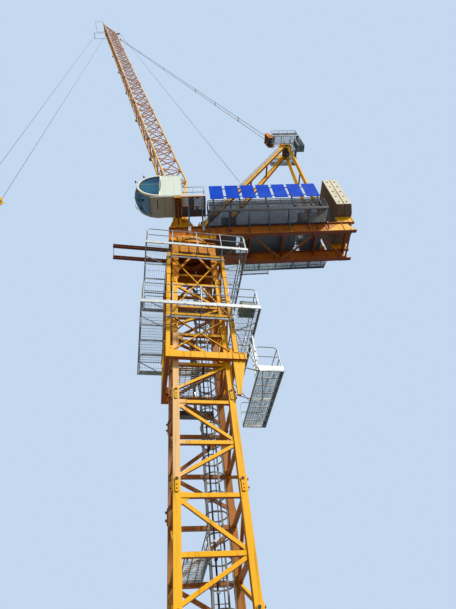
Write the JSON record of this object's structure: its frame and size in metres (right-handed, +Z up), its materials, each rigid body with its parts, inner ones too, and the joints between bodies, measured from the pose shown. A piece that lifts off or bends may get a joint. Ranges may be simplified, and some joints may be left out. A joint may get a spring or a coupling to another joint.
{
  "type": "luffing-jib tower crane, 1:10 scale model",
  "caption": "Tower crane at 1:10 scale: lattice mast with a climbing frame, slewing upper works, a steep luffing jib, A-frame, counterweights, cab and hook.",
  "frame": {"origin": "Centre of the base frame's flat underside, on the mast axis.", "axes": "+Z is up along the mast, -Y is the mast's front face, and the upper works are turned 8 degrees clockwise from +X at rest."},
  "size_m": [2.2081, 0.5448, 9.1312],
  "materials": {
    "yellow_paint": "satin yellow paint",
    "faded_paint": "sun-faded yellow paint",
    "weathered_paint": "dull orange-brown paint",
    "galvanised_steel": "galvanised",
    "dark_steel": "dark grey paint",
    "wire_rope": "greased wire rope",
    "cable_rubber": "black rubber",
    "grey_paint": "grey paint",
    "concrete": "cream concrete",
    "blue_paint": "gloss blue paint",
    "cab_paint": "cream paint",
    "cab_glass": "blue-tinted glass"
  },
  "bodies": {
    "mast": {"base_frame": "yellow_paint", "mast_base_section": "yellow_paint", "mast_section_1": "yellow_paint", "mast_section_2": "yellow_paint", "mast_section_3": "faded_paint", "mast_section_4": "faded_paint", "mast_section_5": "yellow_paint", "mast_ladder": "galvanised_steel", "rest_platforms": "galvanised_steel", "power_cable": "cable_rubber", "climbing_frame": "yellow_paint", "loading_rails": "weathered_paint", "jacking_ram": "dark_steel", "upper_platform": "galvanised_steel", "main_platform": "galvanised_steel", "side_platform": "galvanised_steel", "hydraulic_unit": "grey_paint", "platform_ladders": "galvanised_steel", "slew_support": "weathered_paint"},
    "jib": {"jib_foot": "faded_paint", "jib_lower": "faded_paint", "jib_upper": "faded_paint", "jib_head": "faded_paint", "head_sheave": "dark_steel", "hoist_rope": "wire_rope"},
    "pendant_line": {"pendants": "galvanised_steel", "luffing_block": "yellow_paint", "luffing_falls": "wire_rope"},
    "rope_falls": {"tip_frame": "galvanised_steel", "hoist_falls": "wire_rope"},
    "hook_block": {"hook_block": "yellow_paint"},
    "hook": {"lifting_hook": "dark_steel"},
    "upper_works": {"turntable": "weathered_paint", "slew_drives": "yellow_paint", "counter_jib": "weathered_paint", "counter_jib_lacing": "weathered_paint", "machinery_deck": "dark_steel", "near_walkway": "dark_steel", "far_walkway": "galvanised_steel", "hoist_winch": "dark_steel", "luffing_winch": "dark_steel", "electrical_cabinets": "grey_paint", "counterweights": "concrete", "sign_board": "blue_paint", "a_frame_front": "yellow_paint", "a_frame_rear": "yellow_paint", "a_frame_head": "yellow_paint", "head_platform": "galvanised_steel", "a_frame_ladder": "galvanised_steel", "cab_shell": "cab_paint", "cab_glass": "cab_glass", "cab_balcony": "galvanised_steel"}
  },
  "joints": [
    {"name": "slew", "type": "hinge", "parent": "mast", "child": "upper_works", "pos_m": [0, 0, 2.07], "axis": [0, 0, 1], "continuous": true},
    {"name": "luff", "type": "hinge", "parent": "upper_works", "child": "jib", "pos_m": [-0.04951, 0.00696, 2.38], "axis": [0.1392, 0.9903, 0], "range_deg": [-65.2, 1.8], "deforming": ["hoist_rope", "luffing_falls"]},
    {"name": "pendant_pin", "type": "hinge", "parent": "jib", "child": "pendant_line", "pos_m": [-0.83888, 0.1179, 7.97598], "axis": [0.1392, 0.9903, 0], "range_deg": [-3, 1]},
    {"name": "rope_plumb", "type": "hinge", "parent": "jib", "child": "rope_falls", "pos_m": [-1.05915, 0.14885, 8.28259], "axis": [0.1392, 0.9903, 0], "range_deg": [-2, 66]},
    {"name": "hook_hoist", "type": "slide", "parent": "rope_falls", "child": "hook_block", "axis": [0, 0, 1], "range_m": [-2.5, 5.35], "deforming": ["hoist_falls"]},
    {"name": "hook_swivel", "type": "hinge", "parent": "hook_block", "child": "hook", "pos_m": [-1.16659, 0.16395, 2.704], "axis": [0, 0, 1], "continuous": true}
  ],
  "couplings": [
    {"joint": "pendant_pin", "follows": "luff", "ratio": 0.04},
    {"joint": "rope_plumb", "follows": "luff", "ratio": -1}
  ]
}
